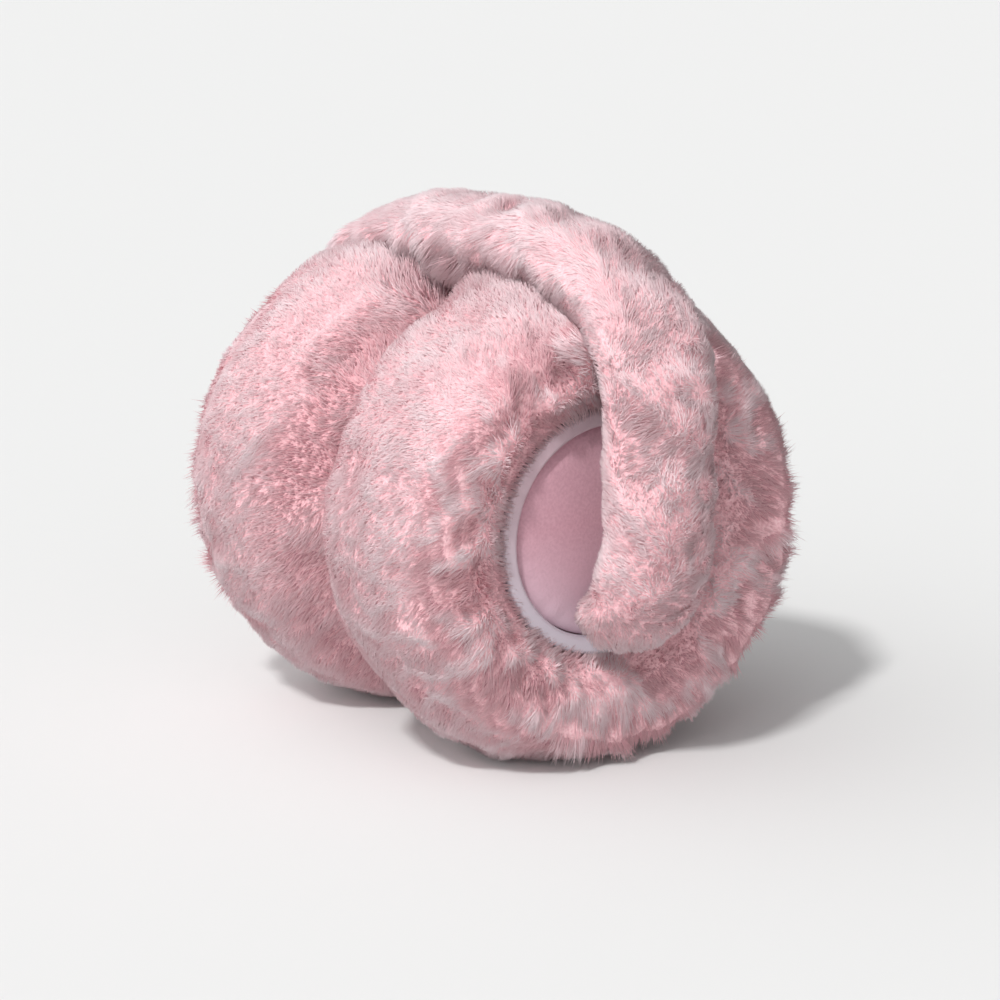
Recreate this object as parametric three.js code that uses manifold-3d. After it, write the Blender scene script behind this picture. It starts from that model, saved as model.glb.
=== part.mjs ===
// Folded fur earmuffs: two deep-pile ear cups pressed back to back under an arched fur headband.
// Millimetres, +Z up. The origin is on the floor, midway between the cups.
// +X runs through both cups, out of the right cup's ear side.

import * as THREE from 'three';
import { mergeVertices } from 'three/addons/utils/BufferGeometryUtils.js';
import Module from 'manifold-3d';

// Ear cups
const cupDiameter = 119.4;
const cupThickness = 57;
const cupSeatDepth = 2;
const cupPile = 2.6;
const cupSeatWidth = 62;

// Rim and ear pad in the ear side of each cup
const rimDiameter = 60;
const rimWidth = 4.2;
const rimThickness = 3;
const rimSetback = 6;
const rimRounding = 0.8;
const padThickness = 6;
const padSetback = 1.6;
const padCrown = 1.2;

// Headband
const bandWidth = 30;
const bandThickness = 20;
const bandPile = 2;
const bandPress = 5.5;
const bandLegGap = 4.7;
const bandTipRise = 12;
const bandTipPress = 3.5;

// Hinge tab between each end of the headband and the rim
const tabWidth = 13;
const tabHeight = 13;
const tabThickness = 2.4;
const tabRounding = 3;
const tabDrop = 7;

// Gap that neighbouring pieces keep
const clearance = 0.3;

// Fineness of the faceted surfaces
const cupSectors = 26;
const cupRings = 10;
const rimSectors = 28;
const padRings = 3;
const bandSides = 10;
const bandSteps = 26;
const bandCapSteps = 3;
const tabCornerSteps = 2;
const lockSides = 4;
const lockSteps = 2;

// Outline of a cup from the rim, over its widest ring, to the face pressed against the other cup.
// along is a share of cupThickness, counted from the pressed face.
// out is a share of the way from the rim's pocket to the cup's full radius.
// pile is the share of cupPile that stands over the backing there.
const cupOutline = [
  { place: 'ear ring, inner', along: 0.976, out: 0.29, pile: 0.7 },
  { place: 'ear ring, outer', along: 0.97, out: 0.70, pile: 1.0 },
  { place: 'shoulder', along: 0.776, out: 0.925, pile: 1.0 },
  { place: 'widest ring', along: 0.526, out: 1.0, pile: 1.0 },
  { place: 'haunch', along: 0.276, out: 0.9, pile: 1.0 },
  { place: 'flank', along: 0.076, out: 0.485, pile: 0.6 },
  { place: 'pressed edge', along: 0.0, out: 0.0, pile: 0.0 },
];

// Rings of locks on a cup. start is a share of the outline's length.
// reach is a share of cupDiameter and spread a share of the ring's spacing.
const cupLocks = [
  { place: 'round the rim', start: 0.01, count: 10, reach: 0.2, spread: 1.1 },
  { place: 'ear ring', start: 0.15, count: 12, reach: 0.24, spread: 1.05 },
  { place: 'shoulder', start: 0.3, count: 14, reach: 0.25, spread: 1.05 },
  { place: 'widest ring', start: 0.46, count: 14, reach: 0.24, spread: 1.05 },
  { place: 'haunch', start: 0.62, count: 11, reach: 0.18, spread: 1.0 },
];

// Middle line of the headband from its right tip to its left tip.
// out is a share of half the span between the legs, up a share of the rise from the tips to the top.
const bandRoute = [
  { place: 'right turn', out: 0.875, up: 0.03 },
  { place: 'right foot', out: 0.972, up: 0.168 },
  { place: 'right leg', out: 1.0, up: 0.427 },
  { place: 'right shoulder', out: 0.945, up: 0.785 },
  { place: 'right haunch', out: 0.62, up: 0.975 },
  { place: 'top', out: 0.075, up: 1.0 },
  { place: 'left haunch', out: -0.5, up: 0.92 },
  { place: 'left shoulder', out: -0.82, up: 0.73 },
  { place: 'left leg', out: -1.0, up: 0.42 },
  { place: 'left foot', out: -0.972, up: 0.168 },
  { place: 'left turn', out: -0.875, up: 0.03 },
];

// Rows of locks on the headband. turn is the angle from its crest, in degrees.
// reach is a share of the arch's length and spread a share of bandWidth.
const bandLocks = [
  { place: 'crest', turn: 0, count: 6, reach: 0.1, spread: 0.6 },
  { place: 'front slope', turn: 62, count: 6, reach: 0.1, spread: 0.55 },
  { place: 'back slope', turn: -62, count: 6, reach: 0.1, spread: 0.55 },
];

// Form of one lock: how deep its root is sunk, how far its tip lifts off the outline,
// how thick it is and how far neighbours sway
const lockRootDepth = 3;
const lockTipLift = 1;
const lockThickness = 7;
const lockSway = 0.35;
const lockSwayStep = 2.4;

// Sizes that follow from the driving dimensions
const cupRadius = cupDiameter / 2;
const cupAxisHeight = cupRadius - cupSeatDepth;
const cupBack = clearance / 2;
const cupFront = cupBack + cupThickness;
const rimRadius = rimDiameter / 2;
const rimFace = cupFront - rimSetback;
const pocketRadius = rimRadius + clearance;
const padRadius = rimRadius - rimWidth - clearance;
const padEdgeFace = rimFace - padSetback;
const padBack = padEdgeFace - padThickness;
const tabBack = rimFace + clearance;
const bandTipX = tabBack + tabThickness + clearance;
const bandTipHeight = cupAxisHeight - rimRadius + bandTipRise;
const bandTopHeight = cupAxisHeight + cupRadius + bandThickness / 2 - bandPress;
const bandHalfSpan = cupFront + bandLegGap + bandThickness / 2;

// Colours
const furPink = 0xe9c3c9;
const rimLilac = 0xd3c6cf;
const padPink = 0xb98693;
const tabPink = 0xa87884;

const wasm = await Module();
wasm.setup();

// Keeps only positions, merges shared vertices and drops triangles that close up to a line
function weld(geometry) {
  geometry.deleteAttribute('normal');
  geometry.deleteAttribute('uv');
  const merged = mergeVertices(geometry, 1e-5);
  const corners = merged.index.array;
  const kept = [];
  for (let i = 0; i < corners.length; i += 3) {
    const [a, b, c] = [corners[i], corners[i + 1], corners[i + 2]];
    if (a !== b && b !== c && c !== a) kept.push(a, b, c);
  }
  merged.setIndex(kept);
  return merged;
}

function toSolid(geometry) {
  const welded = weld(geometry);
  const vertProperties = new Float32Array(welded.attributes.position.array);
  const triVerts = new Uint32Array(welded.index.array);
  return new wasm.Manifold(new wasm.Mesh({ numProp: 3, vertProperties, triVerts }));
}

function toGeometry(solid) {
  const { vertProperties, triVerts } = solid.getMesh();
  const geometry = new THREE.BufferGeometry();
  geometry.setAttribute('position', new THREE.BufferAttribute(vertProperties, 3));
  geometry.setIndex(new THREE.BufferAttribute(triVerts, 1));
  geometry.computeVertexNormals();
  return geometry;
}

// Joins solids into one and fills the small closed pockets left between overlapping locks
function fuse(solids) {
  const joined = solids.reduce((whole, piece) => whole.add(piece));
  return joined.decompose().filter((shell) => shell.volume() > 0).reduce((whole, shell) => whole.add(shell));
}

// The main body of a solid, without lock tips that a cut has parted from it
function mainBody(solid) {
  return solid.decompose().reduce((main, part) => (part.volume() > main.volume() ? part : main));
}

function makeMaterial(color, roughness) {
  return new THREE.MeshStandardMaterial({ color, roughness, metalness: 0, flatShading: true });
}

// Turns a profile of (radius, distance along the axis) about +X, at the height of the cup's axis
function turnAboutCupAxis(profile, sectors) {
  const geometry = new THREE.LatheGeometry(profile, sectors);
  geometry.rotateZ(-Math.PI / 2);
  geometry.translate(0, 0, cupAxisHeight);
  return geometry;
}

// Bends a geometry that stands along +Y: guide(share) gives the point, and the two directions across it
function bend(geometry, length, guide) {
  const position = geometry.attributes.position;
  for (let i = 0; i < position.count; i += 1) {
    const share = position.getY(i) / length + 0.5;
    const { point, across, off } = guide(share);
    const bent = point
      .clone()
      .addScaledVector(across, position.getX(i))
      .addScaledVector(off, position.getZ(i));
    position.setXYZ(i, bent.x, bent.y, bent.z);
  }
  return geometry;
}

// One lock of fur: a flattened cone bent along its guide, from its sunk root to its tip
function lock(width, thickness, guide) {
  const cone = new THREE.ConeGeometry(0.5, 1, lockSides, lockSteps);
  cone.scale(width, 1, thickness);
  return toSolid(bend(cone, 1, guide));
}

const cupCurve = new THREE.SplineCurve([
  new THREE.Vector2(pocketRadius, rimFace),
  ...cupOutline.map(({ along, out }) => new THREE.Vector2(
    pocketRadius + out * (cupRadius - pocketRadius),
    cupBack + along * cupThickness,
  )),
]);
const cupPileShares = [0, ...cupOutline.map(({ pile }) => pile)];

// Depth of the pile at a share of the way through the outline's rows
function cupPileAt(share) {
  const place = THREE.MathUtils.clamp(share, 0, 1) * (cupPileShares.length - 1);
  const row = Math.min(Math.floor(place), cupPileShares.length - 2);
  return cupPile * THREE.MathUtils.lerp(cupPileShares[row], cupPileShares[row + 1], place - row);
}

// A point of the cup's outline, moved off it by height, and the way that points out of the fur there
function cupSkin(share, height) {
  const at = THREE.MathUtils.clamp(share, 0, 1);
  const point = cupCurve.getPoint(at);
  const tangent = cupCurve.getTangent(at);
  const outward = new THREE.Vector2(-tangent.y, tangent.x).normalize();
  if (outward.x + outward.y < 0) outward.negate();
  return { point: point.addScaledVector(outward, height), outward };
}

// Backing of a cup: the outline less its pile, closed by the pocket that holds the rim and the pad
function cupBacking() {
  const profile = [new THREE.Vector2(0, cupBack)];
  for (let ring = cupRings; ring >= 0; ring -= 1) {
    const share = ring / cupRings;
    profile.push(cupSkin(share, -cupPileAt(share)).point);
  }
  const rimSeat = rimFace - rimThickness - clearance;
  profile.push(new THREE.Vector2(pocketRadius, rimSeat));
  profile.push(new THREE.Vector2(padRadius + clearance, rimSeat));
  profile.push(new THREE.Vector2(padRadius + clearance, padBack - clearance));
  profile.push(new THREE.Vector2(0, padBack - clearance));
  return toSolid(spreadOnFloor(turnAboutCupAxis(profile, cupSectors)));
}

// Fills the pile out near the floor, where the fur is pressed flat and spreads to both sides
function spreadOnFloor(geometry) {
  const position = geometry.attributes.position;
  for (let i = 0; i < position.count; i += 1) {
    const across = position.getY(i);
    const up = position.getZ(i) - cupAxisHeight;
    const radius = Math.hypot(across, up);
    const sideways = Math.abs(across) / (cupSeatWidth / 2);
    if (radius <= pocketRadius || up > 0 || sideways > 1.5) continue;
    const fill = cupPile * (1 - THREE.MathUtils.smoothstep(sideways, 0.9, 1.5));
    const grown = (radius + fill) / radius;
    position.setY(i, across * grown);
    position.setZ(i, cupAxisHeight + up * grown);
  }
  return geometry;
}

// Guide of one lock on a cup, from the angle and share of its root
function cupGuide(angle, sway, start, reach) {
  const rootHeight = -(cupPile + lockRootDepth);
  return (share) => {
    const height = THREE.MathUtils.lerp(rootHeight, lockTipLift, share);
    const { point, outward } = cupSkin(start + reach * share, height);
    const turned = angle + sway * share;
    const spoke = new THREE.Vector3(0, Math.cos(turned), Math.sin(turned));
    return {
      point: new THREE.Vector3(point.y, 0, cupAxisHeight).addScaledVector(spoke, point.x),
      across: new THREE.Vector3(0, Math.sin(turned), -Math.cos(turned)),
      off: new THREE.Vector3(outward.y, 0, 0).addScaledVector(spoke, outward.x),
    };
  };
}

function cupLockRing({ start, count, reach, spread }, ring) {
  const spacing = (2 * Math.PI) / count;
  const radius = cupSkin(start + reach / 2, 0).point.x;
  const outlineShare = (reach * cupDiameter) / cupCurve.getLength();
  return Array.from({ length: count }, (_, index) => {
    const angle = spacing * (index + (ring % 2) / 2);
    const sway = spacing * lockSway * Math.sin(lockSwayStep * (index + ring));
    const guide = cupGuide(angle, sway, start, outlineShare);
    return lock(spacing * radius * spread, lockThickness, guide);
  });
}

function underFloor() {
  const floor = new THREE.BoxGeometry(4 * cupThickness, 2 * cupDiameter, cupRadius);
  floor.translate(0, 0, -cupRadius / 2);
  return toSolid(floor);
}

// Space on the other side of the plane where the two cups meet
function otherSide() {
  const block = new THREE.BoxGeometry(cupThickness, 2 * cupDiameter, 4 * cupRadius);
  block.translate(cupBack - cupThickness / 2, 0, cupRadius);
  return toSolid(block);
}

function bandPoint(out, up) {
  const height = bandTipHeight + up * (bandTopHeight - bandTipHeight);
  return new THREE.Vector3(out * bandHalfSpan, 0, height);
}

const bandCurve = new THREE.CatmullRomCurve3([
  new THREE.Vector3(bandTipX - bandTipPress, 0, bandTipHeight),
  ...bandRoute.map(({ out, up }) => bandPoint(out, up)),
  new THREE.Vector3(bandTipPress - bandTipX, 0, bandTipHeight),
]);
bandCurve.arcLengthDivisions = 400;
const bandLength = bandCurve.getLength();

// Point of the headband's middle line, with the directions across it and out of the arch
function bandFrame(share) {
  const at = THREE.MathUtils.clamp(share, 0, 1);
  const tangent = bandCurve.getTangentAt(at);
  return {
    point: bandCurve.getPointAt(at),
    across: new THREE.Vector3(0, 1, 0),
    off: new THREE.Vector3(tangent.z, 0, -tangent.x),
  };
}

// A round-ended roll along the headband's middle line
function bandRoll(width, thickness, shift) {
  const radius = thickness / 2;
  const roll = new THREE.CapsuleGeometry(radius, bandLength - thickness, bandCapSteps, bandSides, bandSteps);
  roll.scale(width / thickness, 1, 1);
  roll.translate(0, 0, shift);
  return toSolid(bend(roll, bandLength, bandFrame));
}

// Guide of one lock on the headband, running down towards a tip from the share where its root is
function bandGuide(turn, start, reach) {
  const rootHeight = -(bandPile + lockRootDepth);
  return (share) => {
    const { point, across, off } = bandFrame(start + reach * share);
    const height = THREE.MathUtils.lerp(rootHeight, lockTipLift, share);
    const sideways = Math.sin(turn) * (bandWidth / 2 + height);
    const upwards = Math.cos(turn) * (bandThickness / 2 + height);
    const outward = across.clone().multiplyScalar(Math.sin(turn)).addScaledVector(off, Math.cos(turn));
    const level = across.clone().multiplyScalar(Math.cos(turn)).addScaledVector(off, -Math.sin(turn));
    return {
      point: point.addScaledVector(across, sideways).addScaledVector(off, upwards),
      across: level.multiplyScalar(Math.sign(reach)),
      off: outward,
    };
  };
}

function bandLockRow({ turn, count, reach, spread }, row) {
  const angle = THREE.MathUtils.degToRad(turn);
  const locks = [];
  for (const side of [-1, 1]) {
    for (let index = 0; index < count; index += 1) {
      const start = 0.5 + (side * (0.5 - reach) * (index + (row % 2) / 2)) / count;
      const sway = lockSway * Math.sin(lockSwayStep * (index + row)) * 0.3;
      locks.push(lock(bandWidth * spread, lockThickness, bandGuide(angle + sway, start, side * reach)));
    }
  }
  return locks;
}

// Space between the two hinge tabs, which presses both ends of the headband flat
function betweenTabs() {
  const block = new THREE.BoxGeometry(2 * bandTipX, 2 * bandWidth, cupAxisHeight);
  block.translate(0, 0, cupAxisHeight / 2);
  return toSolid(block);
}

function headband() {
  const backing = bandRoll(bandWidth - 2 * bandPile, bandThickness - bandPile, -bandPile / 2);
  return mainBody(fuse([backing, ...bandLocks.flatMap(bandLockRow)]).subtract(betweenTabs()));
}

// One cup in its own frame, with the groove that the headband presses into its fur
function cupFur(bandInCupFrame) {
  const locks = cupLocks.flatMap(cupLockRing);
  const whole = fuse([cupBacking(), ...locks]);
  return mainBody(whole.subtract(underFloor()).subtract(otherSide()).subtract(bandInCupFrame));
}

function rimGeometry() {
  const inner = rimRadius - rimWidth;
  const back = rimFace - rimThickness;
  return turnAboutCupAxis([
    new THREE.Vector2(inner, back),
    new THREE.Vector2(rimRadius, back),
    new THREE.Vector2(rimRadius, rimFace - rimRounding),
    new THREE.Vector2(rimRadius - rimRounding, rimFace),
    new THREE.Vector2(inner + rimRounding, rimFace),
    new THREE.Vector2(inner, rimFace - rimRounding),
    new THREE.Vector2(inner, back),
  ], rimSectors);
}

// Ear pad: a flat-backed disc with a low crown
function padGeometry() {
  const profile = [new THREE.Vector2(0, padBack), new THREE.Vector2(padRadius, padBack)];
  for (let ring = 0; ring <= padRings; ring += 1) {
    const inwards = ring / padRings;
    const radius = padRadius * (1 - inwards);
    profile.push(new THREE.Vector2(radius, padEdgeFace + padCrown * Math.sin((inwards * Math.PI) / 2)));
  }
  return turnAboutCupAxis(profile, rimSectors);
}

// Hinge tab: a plain rounded plate lying on the rim, under the end of the headband
function tabGeometry() {
  const [right, top] = [tabWidth / 2, tabHeight / 2];
  const outline = new THREE.Shape();
  outline.moveTo(-right + tabRounding, -top);
  outline.lineTo(right - tabRounding, -top);
  outline.absarc(right - tabRounding, -top + tabRounding, tabRounding, -Math.PI / 2, 0);
  outline.lineTo(right, top - tabRounding);
  outline.absarc(right - tabRounding, top - tabRounding, tabRounding, 0, Math.PI / 2);
  outline.lineTo(-right + tabRounding, top);
  outline.absarc(-right + tabRounding, top - tabRounding, tabRounding, Math.PI / 2, Math.PI);
  outline.lineTo(-right, -top + tabRounding);
  outline.absarc(-right + tabRounding, -top + tabRounding, tabRounding, Math.PI, 1.5 * Math.PI);
  return new THREE.ExtrudeGeometry(outline, { depth: tabThickness, bevelEnabled: false, curveSegments: tabCornerSteps });
}

function named(name, geometry, material) {
  const mesh = new THREE.Mesh(weld(geometry), material);
  mesh.name = name;
  return mesh;
}

const earmuffs = new THREE.Group();
const bandSolid = headband();
const bandHollow = bandRoll(bandWidth + 2 * clearance, bandThickness + 2 * clearance, 0);
earmuffs.add(named('headband_fur', toGeometry(bandSolid), makeMaterial(furPink, 0.95)));

const sides = [
  { side: 'right', turnDegrees: 0 },
  { side: 'left', turnDegrees: 180 },
];

for (const { side, turnDegrees } of sides) {
  const cup = new THREE.Group();
  cup.rotation.z = THREE.MathUtils.degToRad(turnDegrees);
  const bandInCupFrame = bandHollow.rotate([0, 0, -turnDegrees]);
  const fur = toGeometry(cupFur(bandInCupFrame));
  cup.add(named(`${side}_cup_fur`, fur, makeMaterial(furPink, 0.95)));
  cup.add(named(`${side}_cup_rim`, rimGeometry(), makeMaterial(rimLilac, 0.6)));
  cup.add(named(`${side}_ear_pad`, padGeometry(), makeMaterial(padPink, 0.85)));
  const tab = named(`${side}_hinge_tab`, tabGeometry(), makeMaterial(tabPink, 0.7));
  tab.rotation.set(Math.PI / 2, Math.PI / 2, 0);
  tab.position.set(tabBack, 0, bandTipHeight - tabDrop + tabHeight / 2);
  cup.add(tab);
  earmuffs.add(cup);
}

export default earmuffs;
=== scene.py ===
"""Looks of the folded fur earmuffs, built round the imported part. In millimetres until a mesh is made."""

import math

import bpy
import numpy as np
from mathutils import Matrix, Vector
from mathutils.kdtree import KDTree


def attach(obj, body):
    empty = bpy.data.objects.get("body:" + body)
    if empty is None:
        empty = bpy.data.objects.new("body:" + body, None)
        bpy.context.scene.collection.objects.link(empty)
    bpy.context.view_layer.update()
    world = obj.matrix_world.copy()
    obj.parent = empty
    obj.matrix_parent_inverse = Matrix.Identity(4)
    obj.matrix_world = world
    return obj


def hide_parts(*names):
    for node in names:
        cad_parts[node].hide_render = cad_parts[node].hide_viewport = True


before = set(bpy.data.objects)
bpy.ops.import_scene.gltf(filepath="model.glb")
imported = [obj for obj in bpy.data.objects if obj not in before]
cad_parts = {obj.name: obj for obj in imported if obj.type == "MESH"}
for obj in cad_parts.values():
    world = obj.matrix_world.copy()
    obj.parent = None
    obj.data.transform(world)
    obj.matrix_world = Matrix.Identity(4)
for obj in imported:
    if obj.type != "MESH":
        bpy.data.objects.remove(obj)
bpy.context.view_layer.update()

MM = 0.001
FULL_TURN = (0, 2 * math.pi)

# Sizes, as in the part
CUP_DIAMETER = 119.4
CUP_THICKNESS = 57.0
CUP_SEAT_DEPTH = 2.0
RIM_DIAMETER = 60.0
RIM_WIDTH = 4.2
RIM_THICKNESS = 3.0
RIM_SETBACK = 6.0
PAD_THICKNESS = 6.0
PAD_SETBACK = 1.6
PAD_CROWN = 1.2
BAND_WIDTH = 30.0
BAND_THICKNESS = 20.0
BAND_PRESS = 5.5
BAND_LEG_GAP = 4.7
BAND_TIP_RISE = 12.0
BAND_TIP_PRESS = 3.5
TAB_THICKNESS = 2.4
CLEARANCE = 0.3

CUP_RADIUS = CUP_DIAMETER / 2
CUP_AXIS = CUP_RADIUS - CUP_SEAT_DEPTH
CUP_BACK = CLEARANCE / 2
CUP_FRONT = CUP_BACK + CUP_THICKNESS
RIM_RADIUS = RIM_DIAMETER / 2
RIM_FACE = CUP_FRONT - RIM_SETBACK
POCKET_RADIUS = RIM_RADIUS + CLEARANCE
PAD_RADIUS = RIM_RADIUS - RIM_WIDTH - CLEARANCE
PAD_EDGE_FACE = RIM_FACE - PAD_SETBACK
BAND_RADIUS = BAND_THICKNESS / 2
BAND_TIP_X = RIM_FACE + 2 * CLEARANCE + TAB_THICKNESS - BAND_TIP_PRESS
BAND_TIP_Z = CUP_AXIS - RIM_RADIUS + BAND_TIP_RISE
BAND_TOP_Z = CUP_AXIS + CUP_RADIUS + BAND_RADIUS - BAND_PRESS
BAND_HALF_SPAN = CUP_FRONT + BAND_LEG_GAP + BAND_RADIUS

# Shares of the cup's thickness and of its width of fur, from the rim to the middle of its back
CUP_OUTLINE = [
    (0.976, 0.29), (0.97, 0.70), (0.776, 0.925), (0.526, 1.0), (0.276, 0.9), (0.076, 0.485), (0.0, 0.0),
]

# Shares of the headband's half span and of its rise above its tips, from one tip to the other
BAND_ROUTE = [
    (0.875, 0.03), (0.972, 0.168), (1.0, 0.427), (0.945, 0.785), (0.62, 0.975), (0.075, 1.0),
    (-0.5, 0.92), (-0.82, 0.73), (-1.0, 0.42), (-0.972, 0.168), (-0.875, 0.03),
]

# Strands, and the guides that draw them into tufts
RIGHT_CUP_STRANDS = 121000
LEFT_CUP_STRANDS = 99000
BAND_STRANDS = 87000
CUP_GUIDES = 6000
BAND_GUIDES = 5000
ROOT_DEPTH = 1.7
ROOT_RADII = (0.15, 0.27)
LENGTH_GAIN = (0.92, 1.04)
STRAY = 0.20
FAN = 0.30
TONES = 40

# How far the backing skins lie under the outline
CUP_BACKING_DEPTH = 1.3
BAND_BACKING_DEPTH = 1.2

# Least height of the ends of the cups' strands and of their backing
GROUND_GAP = 0.4

# Least distance of a cup's backing from the plane between the cups
CUP_GAP = 0.3

# Share of a whole outline that a step takes to measure how the outline runs
SHORT_STEP = 2e-3

# Colours of the strands at their root, at 0.4 of their length and at the tip, linear
FUR_DEEP = [(0.44, 0.19, 0.23), (0.66, 0.35, 0.39), (0.80, 0.53, 0.56)]
FUR_PALE = [(0.80, 0.52, 0.55), (0.86, 0.67, 0.70), (0.88, 0.77, 0.80)]


# Curves and easing

def unit(v):
    return v / np.maximum(np.linalg.norm(v, axis=-1, keepdims=True), 1e-9)


def smooth(a, b, x):
    """Goes softly from 0 at a to 1 at b."""
    t = np.clip((x - a) / (b - a), 0, 1)
    return t * t * (3 - 2 * t)


def between(a, b, c, d, x):
    """Rises from 0 at a to 1 at b and falls from 1 at c to 0 at d."""
    return smooth(a, b, x) * smooth(d, c, x)


class Path:
    """A smooth curve through points, read by a share of its length."""

    def __init__(self, points, steps=60):
        p = np.array(points, float)
        p = np.vstack([2 * p[0] - p[1], p, 2 * p[-1] - p[-2]])
        t = np.linspace(0, 1, steps, endpoint=False)[:, None]
        rows = []
        for a, b, c, d in zip(p[:-3], p[1:-2], p[2:-1], p[3:]):
            bend = (2 * a - 5 * b + 4 * c - d) * t**2 + (3 * b - a - 3 * c + d) * t**3
            rows.append(0.5 * (2 * b + (c - a) * t + bend))
        self.points = np.vstack(rows + [p[-2:-1]])
        run = np.r_[0, np.cumsum(np.linalg.norm(np.diff(self.points, axis=0), axis=1))]
        self.length = run[-1]
        self.share = run / run[-1]

    def at(self, share):
        return np.stack([np.interp(share, self.share, column) for column in self.points.T], -1)

    def tangent(self, share, step=0.004):
        return unit(self.at(np.clip(share + step, 0, 1)) - self.at(np.clip(share - step, 0, 1)))


cup_path = Path([(RIM_FACE, POCKET_RADIUS)] + [
    (CUP_BACK + along * CUP_THICKNESS, POCKET_RADIUS + out * (CUP_RADIUS - POCKET_RADIUS))
    for along, out in CUP_OUTLINE
])
band_path = Path([(BAND_TIP_X, BAND_TIP_Z)] + [
    (out * BAND_HALF_SPAN, BAND_TIP_Z + up * (BAND_TOP_Z - BAND_TIP_Z)) for out, up in BAND_ROUTE
] + [(-BAND_TIP_X, BAND_TIP_Z)])


# Smooth noise in space

class Waves:
    """A smooth vector field of a few waves with about this spacing in millimetres."""

    def __init__(self, spacing, seed, count=9):
        r = np.random.default_rng(seed)
        self.k = unit(r.normal(size=(count, 3))) * (2 * math.pi / spacing) * r.uniform(0.6, 1.5, (count, 1))
        self.phase = r.uniform(0, 2 * math.pi, (3, count))
        self.gain = math.sqrt(2 / count)

    def __call__(self, p):
        a = p @ self.k.T
        return np.stack([np.sin(a + f).sum(-1) for f in self.phase], -1) * self.gain


coarse = Waves(26.0, 3)
tuft = Waves(14.0, 11)
fine = Waves(7.0, 5)


# Outlines of the fur, with its relief of soft tufts

def about_cup_axis(x, radius, turn):
    return np.stack([x, radius * np.cos(turn), CUP_AXIS + radius * np.sin(turn)], -1)


def cup_locks(p, turn):
    """Waves round the cup that part its fur into locks from the ear side outward, strongest low down."""
    low = smooth(0.7, -0.4, np.sin(turn))
    waves = np.sin(31 * turn + 1.4 * coarse(p)[..., 1]) + 0.7 * np.sin(53 * turn + 1.2 * coarse(p)[..., 2])
    return (0.15 + low) * waves


def lock_zone(share):
    """Where the locks show: outside the rim and short of the cup's back."""
    return between(0.05, 0.16, 0.50, 0.70, share)


def cup_point(share, turn, height=0.0):
    """A point of the right cup's fur outline, lifted off it by height."""
    p = cup_path.at(share)
    t = cup_path.tangent(share)
    off = np.stack([-t[..., 1], t[..., 0]], -1)
    inside = np.array([25.0, POCKET_RADIUS])
    off = np.where((off * (p - inside)).sum(-1, keepdims=True) < 0, -off, off)
    plain = about_cup_axis(p[..., 0], p[..., 1], turn)
    rough = between(0.0, 0.04, 0.10, 0.30, share)
    relief = 0.45 * coarse(plain)[..., 0] + (0.25 + 0.4 * rough) * tuft(plain)[..., 0]
    relief += (0.08 + 0.32 * rough) * fine(plain)[..., 0] + 0.22 * cup_locks(plain, turn) * lock_zone(share)
    lift = height + relief * between(0.0, 0.05, 0.9, 1.0, share)
    return about_cup_axis(p[..., 0] + off[..., 0] * lift, p[..., 1] + off[..., 1] * lift, turn)


def band_point(share, turn, height=0.0):
    """A point of the headband's fur outline. turn goes from its outer crest to its +Y side."""
    run = share * band_path.length
    near_end = np.minimum(run, band_path.length - run)
    cap = np.sqrt(np.clip(1 - (1 - np.clip(near_end / BAND_RADIUS, 0, 1)) ** 2, 1e-4, 1))
    p = band_path.at(share)
    t = band_path.tangent(share)
    off = np.stack([t[..., 1], -t[..., 0]], -1)
    crest = np.cos(turn)
    plain_x, plain_z = (p[..., k] + off[..., k] * crest * BAND_RADIUS for k in (0, 1))
    plain = np.stack([plain_x, np.sin(turn) * BAND_WIDTH / 2, plain_z], -1)
    height = height + 0.3 * coarse(plain)[..., 0] + 0.3 * tuft(plain)[..., 0] + 0.2 * fine(plain)[..., 0]
    along = -t * (height * np.sqrt(1 - cap**2) * np.sign(0.5 - share))[..., None]
    wide = (BAND_WIDTH / 2 + height) * cap
    up = crest * (BAND_RADIUS + height) * cap
    x, z = (p[..., k] + off[..., k] * up + along[..., k] for k in (0, 1))
    return np.stack([x, np.sin(turn) * wide, z], -1)


def cup_core(share, turn):
    """The middle of the cup's ring at this turn, which its outline faces away from."""
    middle = np.full_like(turn, CUP_BACK + CUP_THICKNESS / 2)
    return about_cup_axis(middle, (POCKET_RADIUS + CUP_RADIUS) / 2, turn)


def band_core(share, turn):
    """The headband's middle line, kept inside its round ends."""
    end = BAND_RADIUS / band_path.length
    p = band_path.at(np.clip(share, end, 1 - end))
    return np.stack([p[..., 0], np.zeros_like(turn), p[..., 1]], -1)


def band_field(points):
    """How far points are from the headband's middle line, 1 at its outline."""
    tree = KDTree(len(band_path.points))
    for i, (x, z) in enumerate(band_path.points):
        tree.insert((x, 0, z), i)
    tree.balance()
    apart = np.array([tree.find((p[0], 0, p[2]))[2] for p in points])
    return np.sqrt((points[:, 1] / (BAND_WIDTH / 2)) ** 2 + (apart / BAND_RADIUS) ** 2)


# Strands scattered over an outline

def speed(move, step):
    """How fast a point of an outline moves with its share or turn, at least 2 mm for each unit."""
    return np.maximum(np.linalg.norm(move, axis=-1) / step, 2.0)


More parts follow.
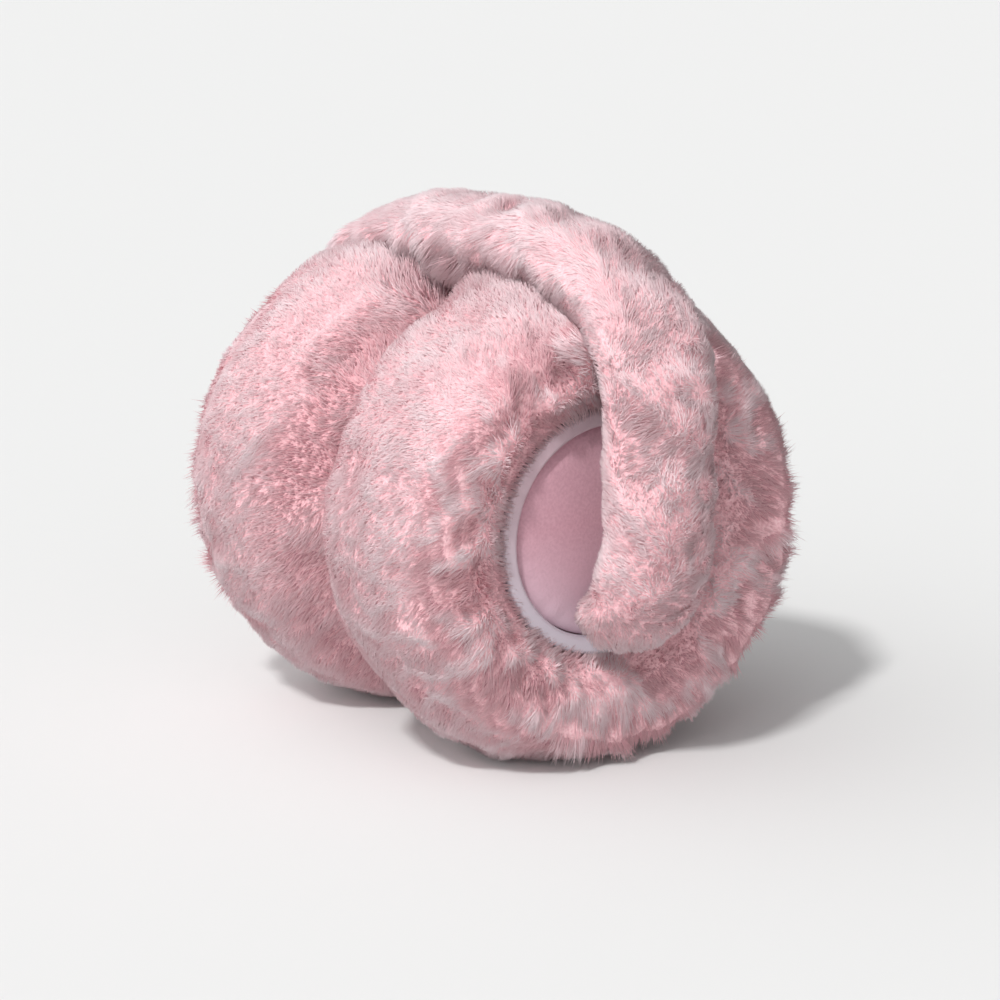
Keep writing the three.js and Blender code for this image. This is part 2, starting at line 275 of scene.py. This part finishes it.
def scatter(point, core, count, last_share, seed, cells):
    """Spots spread evenly over an outline up to a share of it, with its normals and how it runs there."""
    r = np.random.default_rng(seed)
    shares = np.linspace(0, last_share, cells[0] + 1)
    turns = np.linspace(*FULL_TURN, cells[1] + 1)
    grid = point(*np.meshgrid(shares, turns, indexing="ij"))
    sides = grid[1:, :-1] - grid[:-1, :-1], grid[:-1, 1:] - grid[:-1, :-1]
    area = np.linalg.norm(np.cross(*sides), axis=-1)
    chosen = r.choice(area.size, count, p=area.ravel() / area.sum())
    i, j = np.divmod(chosen, cells[1])
    share = shares[i] + r.random(count) * (shares[1] - shares[0])
    turn = turns[j] + r.random(count) * (turns[1] - turns[0])
    spot = point(share, turn)

    ahead = last_share * SHORT_STEP
    around = 2 * math.pi * SHORT_STEP
    low, high = (np.clip(share + step, 0, last_share) for step in (-ahead, ahead))
    flow = point(high, turn) - point(low, turn)
    across = point(share, turn + around) - point(share, turn - around)
    normal = unit(np.cross(across, flow))
    inward = (normal * (spot - core(share, turn))).sum(-1, keepdims=True) < 0
    return {
        "spot": spot,
        "normal": np.where(inward, -normal, normal),
        "flow": unit(flow),
        "across": unit(across),
        "flow_speed": speed(flow, 2 * ahead),
        "across_speed": speed(across, 2 * around),
        "share": share,
        "turn": turn,
    }


def combed(pile, pull, settle, stray, seed):
    """Drift of strands along the surface: with pull, sinking, fanning out in patches, straying a little."""
    r = np.random.default_rng(seed)
    spot, normal = pile["spot"], pile["normal"]
    side = np.cross(normal, unit(pull + 1e-6))
    fan = (coarse(spot)[:, :1] + 0.8 * tuft(spot)[:, 1:2]) * FAN * side
    way = pull + fan + stray * r.normal(size=normal.shape)
    way[:, 2] -= settle
    return way - normal * (way * normal).sum(-1, keepdims=True)


def hug(point, pile):
    """How far the outline rises or falls away under the strands' tips, so that they follow its bends."""
    step = pile["way"] * pile["reach"][:, None]
    ahead = (step * pile["flow"]).sum(-1) / pile["flow_speed"]
    around = (step * pile["across"]).sum(-1) / pile["across_speed"]
    share = np.clip(pile["share"] + np.clip(ahead, -0.08, 0.08), 0, 1)
    under_tip = point(share, pile["turn"] + np.clip(around, -0.4, 0.4))
    return np.clip(((under_tip - pile["spot"]) * pile["normal"]).sum(-1), -2.5, 0.5)


def cup_strands(number, stray, seed):
    """Strands of the right cup, spreading away from its axis."""
    pile = scatter(cup_point, cup_core, number, 0.97, seed + number, cells=(160, 200))
    spot, share, turn = pile["spot"], pile["share"], pile["turn"]
    spoke = np.stack([np.zeros(number), np.cos(turn), np.sin(turn)], -1)
    pile["way"] = combed(pile, spoke, 0.25, stray, seed + 3)

    # Short over the back, and leaning over the rim at its edge
    pile["reach"] = 4.8 * smooth(0.02, 0.2, share) - 2.2 * smooth(0.05, 0.0, share)
    pile["reach"] -= 2.0 * smooth(0.62, 0.85, share)
    pile["reach"] *= 1 + 0.2 * coarse(spot)[:, 2]

    # Raised at the rim and under the headband, most of all in the crease, and flat on the shoulder
    by_band = smooth(2.2, 1.2, band_field(spot)) * smooth(30.0, 42.0, spot[:, 2] - CUP_AXIS)
    pile["lift"] = 0.3 + 0.2 * tuft(spot)[:, 2] + 1.1 * smooth(0.06, 0.0, share)
    pile["lift"] += by_band * (1.0 + 5.0 * smooth(0.58, 0.75, share))
    pile["lift"] -= 0.5 * between(0.08, 0.16, 0.28, 0.40, share)
    pile["lift"] += hug(cup_point, pile)

    # Painted light and shade: paler facing up, deeper toward the back in the crease, between the tufts
    # round the rim and between the locks
    # How deep a strand stands in a hollow between the tufts, where painted shade goes
    hollow_shade_mask = np.clip(0.4 - 0.7 * tuft(spot)[:, 0] - 0.5 * fine(spot)[:, 0], 0, 1)
    pile["shade"] = 0.08 * pile["normal"][:, 2] - 0.42 * smooth(0.55, 0.78, share)
    pile["shade"] -= 1.2 * hollow_shade_mask * between(0.0, 0.06, 0.18, 0.34, share)
    pile["shade"] += 0.12 * cup_locks(spot, turn) * lock_zone(share)
    return pile


def band_strands(number, stray, seed):
    """Shorter strands along the headband: hanging over its edges on top, curly on one side of the legs."""
    pile = scatter(band_point, band_core, number, 1.0, seed + number, cells=(260, 60))
    spot, share, turn = pile["spot"], pile["share"], pile["turn"]
    on_top = between(0.24, 0.36, 0.68, 0.80, share)[:, None]
    hang = np.stack([np.zeros(number), 0.7 * np.sin(turn), np.full(number, -0.9)], -1)
    hang = hang * on_top * np.abs(np.sin(turn))[:, None]
    curl = 0.5 * fine(spot) * smooth(-3.0, 6.0, spot[:, 1])[:, None] * (1 - on_top)
    at_tip = smooth(0.07, 0.03, np.minimum(share, 1 - share))[:, None]
    pull = (pile["flow"] * (0.45 + 0.3 * on_top) + hang + curl) * (1 - at_tip)
    pile["way"] = combed(pile, pull + np.array([0.0, 0.0, -0.6]) * at_tip, 0.0, stray, seed + 3)
    pile["reach"] = 3.9 * (1 + 0.2 * tuft(spot)[:, 2])

    # Underneath, they fill the crease between the cups
    over_crease = smooth(16.0, 8.0, np.abs(spot[:, 0])) * smooth(-0.5, -0.9, pile["normal"][:, 2])
    pile["lift"] = 0.2 + 0.2 * tuft(spot)[:, 2] + 5.0 * over_crease + hug(band_point, pile)
    # Painted light: paler where the fur faces up
    pile["shade"] = 0.10 * pile["normal"][:, 2]
    return pile


def nearest(points, guides):
    """Which guide is nearest to each point."""
    tree = KDTree(len(guides))
    for i, guide in enumerate(guides):
        tree.insert(guide, i)
    tree.balance()
    return np.fromiter((tree.find(p)[1] for p in points), int, len(points))


def free_ends(pile, r):
    """Root and tip of strands before they are drawn into tufts."""
    root = pile["spot"] - pile["normal"] * ROOT_DEPTH
    gain = r.uniform(*LENGTH_GAIN, len(root))[:, None]
    rise = pile["normal"] * (ROOT_DEPTH + pile["lift"])[:, None]
    return root, root + (rise + pile["way"] * pile["reach"][:, None]) * gain


def grow(pile, guides, most_pull, seed):
    """Root and tip of strands, drawn in part to the tips of the guides, with how pale each one is, painted
    light and shade included.
    """
    r = np.random.default_rng(seed)
    spot = pile["spot"]
    near = nearest(spot, guides["spot"])
    root, free = free_ends(pile, r)
    drawn = free_ends(guides, r)[1][near]
    amount = r.uniform(0.0, most_pull, len(root))[:, None]
    tip = free * (1 - amount) + drawn * amount
    # Partly random, partly painted light and shade: the relief's own waves make raised tufts paler and
    # hollows deeper
    tone_and_painted_light = 0.61 + 0.07 * coarse(spot)[:, 0] + 0.09 * tuft(spot)[:, 0] + 0.04 * fine(spot)[:, 0]
    # Adds each pile's painted light and shade
    tone_and_painted_light += pile["shade"] + 0.06 * r.normal(size=len(guides["spot"]))[near]
    return root, tip, tone_and_painted_light + 0.06 * r.normal(size=len(root))


def settle_on_floor(root, tip, r):
    """Strands that would go through the floor lie on it and splay outward."""
    under = np.clip(0.5 - tip[:, 2], 0, None)
    away = unit(tip[:, :2] - np.array([30.0, 0.0]))
    tip[:, :2] += away * under[:, None] * 0.6
    tip[:, 2] = np.where(under > 0, GROUND_GAP + 0.5 * r.random(len(tip)), tip[:, 2])
    root[:, 2] = np.maximum(root[:, 2], GROUND_GAP)


def keep_to_side(tip, edge=1.0):
    """Strands of the right cup give way to the other cup's: what passes the edge is squeezed."""
    tip[:, 0] = np.where(tip[:, 0] < edge, edge + 0.35 * (tip[:, 0] - edge), tip[:, 0])


# Meshes

def needle_mesh(name, root, tip, radius, normal, tone_and_painted_light):
    """Three-sided needles, ridge outward. OFBake runs from root to tip in u and over the tones in v."""
    count = len(root)
    along = unit(tip - root)
    first = unit(np.cross(along, normal + np.array([0.31, 0.17, 0.11])))
    second = np.cross(along, first)
    angles = np.radians([270, 30, 150])
    spread = first[:, None] * np.cos(angles)[:, None] + second[:, None] * np.sin(angles)[:, None]
    verts = np.concatenate([root[:, None] + radius[:, None, None] * spread, tip[:, None]], 1)
    faces = np.array([0, 1, 3, 1, 2, 3, 2, 0, 3])
    index = (faces[None] + 4 * np.arange(count)[:, None]).ravel()
    mesh = bpy.data.meshes.new(name)
    mesh.vertices.add(count * 4)
    mesh.vertices.foreach_set("co", (verts * MM).astype(np.float32).ravel())
    mesh.loops.add(len(index))
    mesh.loops.foreach_set("vertex_index", index.astype(np.int32))
    mesh.polygons.add(count * 3)
    mesh.polygons.foreach_set("loop_start", np.arange(0, len(index), 3, dtype=np.int32))

    row = np.clip((tone_and_painted_light * TONES).astype(int), 0, TONES - 1)[:, None]
    u = np.broadcast_to(np.array([0.02, 0.02, 0.98] * 3), (count, 9))
    v = (row + np.array([0.2, 0.8, 0.5] * 3)) / TONES
    layer = mesh.uv_layers.new(name="OFBake")
    layer.data.foreach_set("uv", np.stack([u, v], -1).astype(np.float32).ravel())
    mesh.update(calc_edges=True)
    mesh.shade_smooth()

    # The two outer faces are shaded in part as the fur's surface is, the hidden one as it lies
    shade = unit(0.85 * normal[:, None] + np.concatenate([spread, along[:, None]], 1))
    corners = shade[:, faces]
    corners[:, 3:6] = second[:, None]
    mesh.normals_split_custom_set(corners.reshape(-1, 3).astype(np.float32))
    piece = bpy.data.objects.new(name, mesh)
    piece.shadow_terminator_geometry_offset = 0.0
    bpy.context.collection.objects.link(piece)
    piece.data.materials.append(strands_look)
    return piece


def needles(name, root, tip, normal, tone_and_painted_light, seed):
    """The strands as two pieces, so that each stays small."""
    radius = np.random.default_rng(seed).uniform(*ROOT_RADII, len(root))
    half = len(root) // 2
    return [
        needle_mesh(f"{name}_pile_{part}", root[rows], tip[rows], radius[rows], normal[rows], tone_and_painted_light[rows])
        for part, rows in (("a", slice(0, half)), ("b", slice(half, None)))
    ]


def skin_mesh(name, points, capped=False):
    """A smooth skin from a grid of points, closed round its second direction, its faces turned outward."""
    rows, cols = points.shape[:2]
    faces = []
    for i in range(rows - 1):
        for j in range(cols):
            k = (j + 1) % cols
            faces.append((i * cols + j, i * cols + k, (i + 1) * cols + k, (i + 1) * cols + j))
    if capped:
        faces.append(tuple(range(cols))[::-1])
        faces.append(tuple((rows - 1) * cols + j for j in range(cols)))
    mesh = bpy.data.meshes.new(name)
    mesh.from_pydata((points.reshape(-1, 3) * MM).tolist(), [], faces)
    mesh.update()
    mesh.shade_smooth()
    piece = bpy.data.objects.new(name, mesh)
    bpy.context.collection.objects.link(piece)
    bpy.context.view_layer.objects.active = piece
    piece.select_set(True)
    bpy.ops.object.mode_set(mode="EDIT")
    bpy.ops.mesh.select_all(action="SELECT")
    bpy.ops.mesh.normals_make_consistent(inside=False)
    bpy.ops.object.mode_set(mode="OBJECT")
    piece.select_set(False)
    return piece


# Materials

def principled(name, roughness, specular):
    material = bpy.data.materials.new(name)
    material.use_nodes = True
    shader = material.node_tree.nodes["Principled BSDF"]
    shader.inputs["Roughness"].default_value = roughness
    shader.inputs["Specular IOR Level"].default_value = specular
    return material, shader


def colour_socket(sockets, name):
    """The colour socket of this name, among a mix node's sockets for other kinds of value."""
    return next(socket for socket in sockets if socket.name == name and socket.type == "RGBA")


def colour_mix(tree, factor):
    """A mix of two colours by a factor: the sockets of both and of the result."""
    mix = tree.nodes.new("ShaderNodeMix")
    mix.data_type = "RGBA"
    tree.links.new(factor, mix.inputs["Factor"])
    first, second = (colour_socket(mix.inputs, name) for name in "AB")
    return first, second, colour_socket(mix.outputs, "Result")


def fur_material():
    """Plush: each strand runs from a deep root to a pale tip. Its row of the map says how pale it is,
    painted shade included.
    """
    material, shader = principled("fur_strands", 0.9, 0.0)
    shader.inputs["IOR"].default_value = 1.0
    tree = material.node_tree
    place = tree.nodes.new("ShaderNodeUVMap")
    place.uv_map = "OFBake"
    parts = tree.nodes.new("ShaderNodeSeparateXYZ")
    tree.links.new(place.outputs["UV"], parts.inputs[0])
    deep, pale, result = colour_mix(tree, parts.outputs["Y"])
    for socket, (root, middle, tip) in ((deep, FUR_DEEP), (pale, FUR_PALE)):
        ramp = tree.nodes.new("ShaderNodeValToRGB")
        ramp.color_ramp.elements[0].color = (*root, 1)
        ramp.color_ramp.elements[1].color = (*tip, 1)
        ramp.color_ramp.elements.new(0.4).color = (*middle, 1)
        tree.links.new(parts.outputs["X"], ramp.inputs["Fac"])
        tree.links.new(ramp.outputs["Color"], socket)
    tree.links.new(result, shader.inputs["Base Color"])
    return material


def cloth_material(name, dark, light, scale, bumps, sheen=0.0, roughness=0.8, specular=0.25):
    """Plain cloth: a fine mottle of two colours with a matching bump."""
    material, shader = principled(name, roughness, specular)
    shader.inputs["Sheen Weight"].default_value = sheen
    tree = material.node_tree
    place = tree.nodes.new("ShaderNodeTexCoord")
    noise = tree.nodes.new("ShaderNodeTexNoise")
    noise.inputs["Scale"].default_value = scale
    noise.inputs["Detail"].default_value = 3.0
    ramp = tree.nodes.new("ShaderNodeValToRGB")
    for stop, position, colour in zip(ramp.color_ramp.elements, (0.35, 0.65), (dark, light)):
        stop.position = position
        stop.color = (*colour, 1)
    bump = tree.nodes.new("ShaderNodeBump")
    bump.inputs["Strength"].default_value = bumps
    bump.inputs["Distance"].default_value = 0.0003
    tree.links.new(place.outputs["Object"], noise.inputs["Vector"])
    tree.links.new(noise.outputs["Fac"], ramp.inputs["Fac"])
    tree.links.new(ramp.outputs["Color"], shader.inputs["Base Color"])
    tree.links.new(noise.outputs["Fac"], bump.inputs["Height"])
    tree.links.new(bump.outputs["Normal"], shader.inputs["Normal"])
    return material


def painted_light_fade(material, colour, top, bottom, amount):
    """Fades a material to another colour from the height top down to the height bottom, in metres: painted
    light and shade.
    """
    tree = material.node_tree
    base = tree.nodes["Principled BSDF"].inputs["Base Color"]
    plain = base.links[0].from_socket
    place = tree.nodes.new("ShaderNodeTexCoord")
    parts = tree.nodes.new("ShaderNodeSeparateXYZ")
    fade = tree.nodes.new("ShaderNodeMapRange")
    fade.inputs["From Min"].default_value = top
    fade.inputs["From Max"].default_value = bottom
    fade.inputs["To Max"].default_value = amount
    tree.links.new(place.outputs["Object"], parts.inputs[0])
    tree.links.new(parts.outputs["Z"], fade.inputs["Value"])
    first, second, result = colour_mix(tree, fade.outputs["Result"])
    second.default_value = (*colour, 1)
    tree.links.new(plain, first)
    tree.links.new(result, base)


strands_look = fur_material()
skin_look = cloth_material("fur_backing", (0.76, 0.42, 0.46), (0.88, 0.57, 0.60), 1500, 0.8)
pad_look = cloth_material("ear_pad_cloth", (0.56, 0.31, 0.37), (0.63, 0.36, 0.43), 1400, 0.3, sheen=0.3)
rim_look = cloth_material(
    "rim_satin", (0.60, 0.46, 0.51), (0.64, 0.50, 0.55), 500, 0.05, roughness=0.42, specular=0.45,
)
tab_look = cloth_material("hinge_tab_plain", (0.36, 0.18, 0.22), (0.40, 0.21, 0.25), 400, 0.1)
# Painted light and shade: the pad darker up in its recess, paler lavender low down
painted_light_fade(pad_look, (0.62, 0.46, 0.54), 0.060, 0.036, 0.9)
# Painted light and shade: the rim pinker on top, greyer lilac low down
painted_light_fade(rim_look, (0.54, 0.49, 0.55), 0.070, 0.040, 1.0)


# Pieces of fur

def to_side(side):
    """Turns the right cup half round for the left one. A side of 1 is the right cup and -1 the left."""
    return np.array([side, side, 1.0])


def cup_pile(name, count, side, seed):
    """A cup's strands, without those that the headband lies on."""
    pile = cup_strands(count, STRAY, seed)
    root, tip, tone_and_painted_light = grow(pile, cup_strands(CUP_GUIDES, 0.28, seed), 0.4, seed + 4)
    keep = band_field(pile["spot"]) > 0.92
    root, tip, tone_and_painted_light, normal = (v[keep] for v in (root, tip, tone_and_painted_light, pile["normal"]))
    settle_on_floor(root, tip, np.random.default_rng(seed + 2))
    keep_to_side(tip)
    return needles(name, root * to_side(side), tip * to_side(side), normal * to_side(side), tone_and_painted_light, seed + 6)


def cup_backing(name, side):
    """The skin under a cup's pile, with a lip that goes down into the pocket."""
    a, b = np.meshgrid(np.linspace(0, 1, 70), np.linspace(*FULL_TURN, 150, endpoint=False), indexing="ij")
    sunk = CUP_BACKING_DEPTH * (0.7 + 0.3 * smooth(0.0, 0.12, a)) * (1 - smooth(0.93, 1.0, a))
    points = cup_point(a, b, -sunk)
    lip = points[:1] - np.array([6.5, 0.0, 0.0])
    points = np.concatenate([lip, points])
    points[..., 2] = np.maximum(points[..., 2], GROUND_GAP)
    points[..., 0] = np.maximum(points[..., 0], CUP_GAP)
    return skin_mesh(name, points * to_side(side), capped=True)


def band_pile(name, count, seed):
    pile = band_strands(count, STRAY, seed)
    root, tip, tone_and_painted_light = grow(pile, band_strands(BAND_GUIDES, 0.35, seed), 0.5, seed + 4)
    return needles(name, root, tip, pile["normal"], tone_and_painted_light, seed + 6)


def band_backing(name):
    middle = np.linspace(0.035, 0.965, 110)
    share = np.concatenate([np.linspace(0.003, 0.03, 8), middle, np.linspace(0.97, 0.997, 8)])
    a, b = np.meshgrid(share, np.linspace(*FULL_TURN, 48, endpoint=False), indexing="ij")
    return skin_mesh(name, band_point(a, b, -BAND_BACKING_DEPTH), capped=True)


# Rim and pad

def turned(profile, segments):
    """A profile of (x, radius) turned round the cup's axis."""
    x, radius = np.array(profile, float).T
    turn = np.linspace(*FULL_TURN, segments, endpoint=False)
    x, turn = np.meshgrid(x, turn, indexing="ij")
    return about_cup_axis(x, radius[:, None], turn)


def rim_ring(name, side, rounding=1.2):
    """A flat ring with well-rounded edges."""
    inner = RIM_RADIUS - RIM_WIDTH
    back = RIM_FACE - RIM_THICKNESS
    quarter = np.radians(np.linspace(0, 90, 7))
    profile = [(back, inner), (back, RIM_RADIUS)]
    for sine, cosine in zip(np.sin(quarter), np.cos(quarter)):
        profile.append((RIM_FACE - rounding + rounding * sine, RIM_RADIUS - rounding + rounding * cosine))
    for sine, cosine in zip(np.sin(quarter), np.cos(quarter)):
        profile.append((RIM_FACE - rounding + rounding * cosine, inner + rounding - rounding * sine))
    profile.append((back, inner))
    return skin_mesh(name, turned(profile, 128) * to_side(side))


def pad_disc(name, side, segments=160):
    """A crowned cloth disc with a soft rolled edge, pulled in a little where it is sewn."""
    back = PAD_EDGE_FACE - PAD_THICKNESS
    profile = [
        (back, 0.01), (back, PAD_RADIUS * 0.6), (back, PAD_RADIUS - 0.6), (back + 0.6, PAD_RADIUS),
        (PAD_EDGE_FACE - 1.6, PAD_RADIUS),
    ]
    sides = len(profile)
    for share in np.linspace(0, 1, 26):
        out = math.cos(share * math.pi / 2) ** 0.6
        crown = PAD_CROWN * (1 - out**2) - 1.3 * out**14
        profile.append((PAD_EDGE_FACE + crown, max(PAD_RADIUS * out, 0.01)))
    points = turned(profile, segments)

    r = np.random.default_rng(17)
    turn = np.linspace(*FULL_TURN, segments, endpoint=False)
    puckers = sum(np.sin(k * turn + r.uniform(0, 6)) for k in (9, 14, 23, 31)) * 0.05
    front = points[sides:]
    out = np.hypot(front[..., 1], front[..., 2] - CUP_AXIS) / PAD_RADIUS
    front[..., 0] += puckers * np.exp(-(((out - 0.9) / 0.1) ** 2))
    return skin_mesh(name, points * to_side(side), capped=True)


# What each piece rides on, replaces and is made of

def take(piece, node, look=None):
    if look:
        piece.data.materials.append(look)
    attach(piece, "root")
    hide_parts(node)
    return piece


kept_part = 1.0
for word, side, count, seed in (("right", 1, RIGHT_CUP_STRANDS, 100), ("left", -1, LEFT_CUP_STRANDS, 200)):
    skin = take(cup_backing(f"{word}_cup_backing", side), f"{word}_cup_fur", skin_look)
    for piece in cup_pile(f"{word}_cup", int(count * kept_part), side, seed):
        take(piece, f"{word}_cup_fur")
    take(rim_ring(f"{word}_rim_ring", side), f"{word}_cup_rim", rim_look)
    take(pad_disc(f"{word}_pad_disc", side), f"{word}_ear_pad", pad_look)
    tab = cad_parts[f"{word}_hinge_tab"]
    tab.data.materials.clear()
    tab.data.materials.append(tab_look)

take(band_backing("headband_backing"), "headband_fur", skin_look)
for piece in band_pile("headband", int(BAND_STRANDS * kept_part), 300):
    take(piece, "headband_fur")


# Floor, light and camera, at the photo's angle. Lengths are in metres here

CAMERA_TURN = math.radians(56.2)
CAMERA_RISE = math.radians(13.6)
CAMERA_TARGET = Vector((0, 0, 0.062))
SUN_RISE = math.radians(47)
SUN_TURN = math.radians(26)

right = Vector((math.cos(CAMERA_TURN), math.sin(CAMERA_TURN), 0))
front = Vector((math.sin(CAMERA_TURN), -math.cos(CAMERA_TURN), 0))
up = Vector((0, 0, 1))


def pale_floor():
    bpy.ops.mesh.primitive_plane_add(size=8, location=(0, 0, 0))
    floor = bpy.context.object
    floor.name = "floor"
    look, shader = principled("floor_paper", 0.9, 0.1)
    shader.inputs["Base Color"].default_value = (0.785, 0.790, 0.790, 1)
    floor.data.materials.append(look)


def studio_world():
    """A soft white sky, brightest low down on the camera's left and front."""
    world = bpy.data.worlds.new("studio")
    world.use_nodes = True
    nodes, links = world.node_tree.nodes, world.node_tree.links
    sky = nodes["Background"]
    sky.inputs["Strength"].default_value = 0.84
    where = nodes.new("ShaderNodeTexCoord")
    toward = nodes.new("ShaderNodeVectorMath")
    toward.operation = "DOT_PRODUCT"
    toward.inputs[1].default_value = -0.85 * right + 0.40 * front - 0.7 * up
    share = nodes.new("ShaderNodeMapRange")
    share.inputs["From Min"].default_value = -1.0
    share.inputs["From Max"].default_value = 1.0
    ramp = nodes.new("ShaderNodeValToRGB")
    for stop, grey in zip(ramp.color_ramp.elements, (0.25, 2.25)):
        stop.color = (grey, grey, grey, 1)
    links.new(where.outputs["Generated"], toward.inputs[0])
    links.new(toward.outputs["Value"], share.inputs["Value"])
    links.new(share.outputs["Result"], ramp.inputs["Fac"])
    links.new(ramp.outputs["Color"], sky.inputs["Color"])
    bpy.context.scene.world = world


def key_sun():
    sun = bpy.data.objects.new("key", bpy.data.lights.new("key", "SUN"))
    sun.data.energy = 1.98
    sun.data.angle = math.radians(6)
    sun.data.color = (1.0, 0.99, 0.98)
    sun.rotation_mode = "QUATERNION"
    level_fall = right * math.sin(SUN_TURN) - front * math.cos(SUN_TURN)
    fall = level_fall * math.cos(SUN_RISE) - up * math.sin(SUN_RISE)
    sun.rotation_quaternion = fall.to_track_quat("-Z", "Y")
    bpy.context.collection.objects.link(sun)


def photo_camera():
    camera = bpy.data.objects.new("camera", bpy.data.cameras.new("camera"))
    bpy.context.collection.objects.link(camera)
    camera.data.lens = 145.8
    camera.data.sensor_width = 36
    camera.data.shift_x = 0.0114
    camera.data.shift_y = -0.028
    back = front * math.cos(CAMERA_RISE) + up * math.sin(CAMERA_RISE)
    camera.location = CAMERA_TARGET + back
    camera.rotation_mode = "QUATERNION"
    camera.rotation_quaternion = (-back).to_track_quat("-Z", "Y")
    bpy.context.scene.camera = camera


pale_floor()
studio_world()
key_sun()
photo_camera()
bpy.context.scene.view_settings.view_transform = "Standard"
